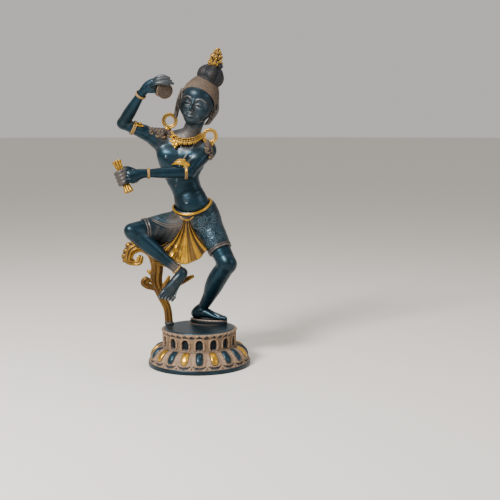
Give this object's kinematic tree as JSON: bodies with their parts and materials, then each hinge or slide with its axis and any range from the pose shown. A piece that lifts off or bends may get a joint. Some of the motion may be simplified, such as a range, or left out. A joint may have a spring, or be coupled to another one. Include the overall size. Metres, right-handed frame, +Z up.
{
  "type": "dancing deity statue",
  "caption": "Brass statue of a dancing deity on a round lotus pedestal, one knee raised over a scrolling leaf prop, with a hand drum and a fluted baton.",
  "frame": {"origin": "centre of the round pedestal's flat underside", "axes": "+Z up; the figure faces -Y; its own right side, with the raised arm and the raised knee, is towards -X"},
  "size_m": [0.2738, 0.2118, 0.6481],
  "materials": {
    "blue_patina": "dark blue lacquered patina on cast brass, worn grey on the high points",
    "gilt_brass": "gilded cast brass with brown dirt in the recesses",
    "tan_wash": "matt tan-grey wash over cast brass"
  },
  "bodies": {
    "root": {"lotus_pedestal": "tan_wash", "dancing_figure": "blue_patina", "leaf_prop": "gilt_brass", "hand_drum": "tan_wash", "fluted_baton": "gilt_brass"}
  },
  "joints": []
}
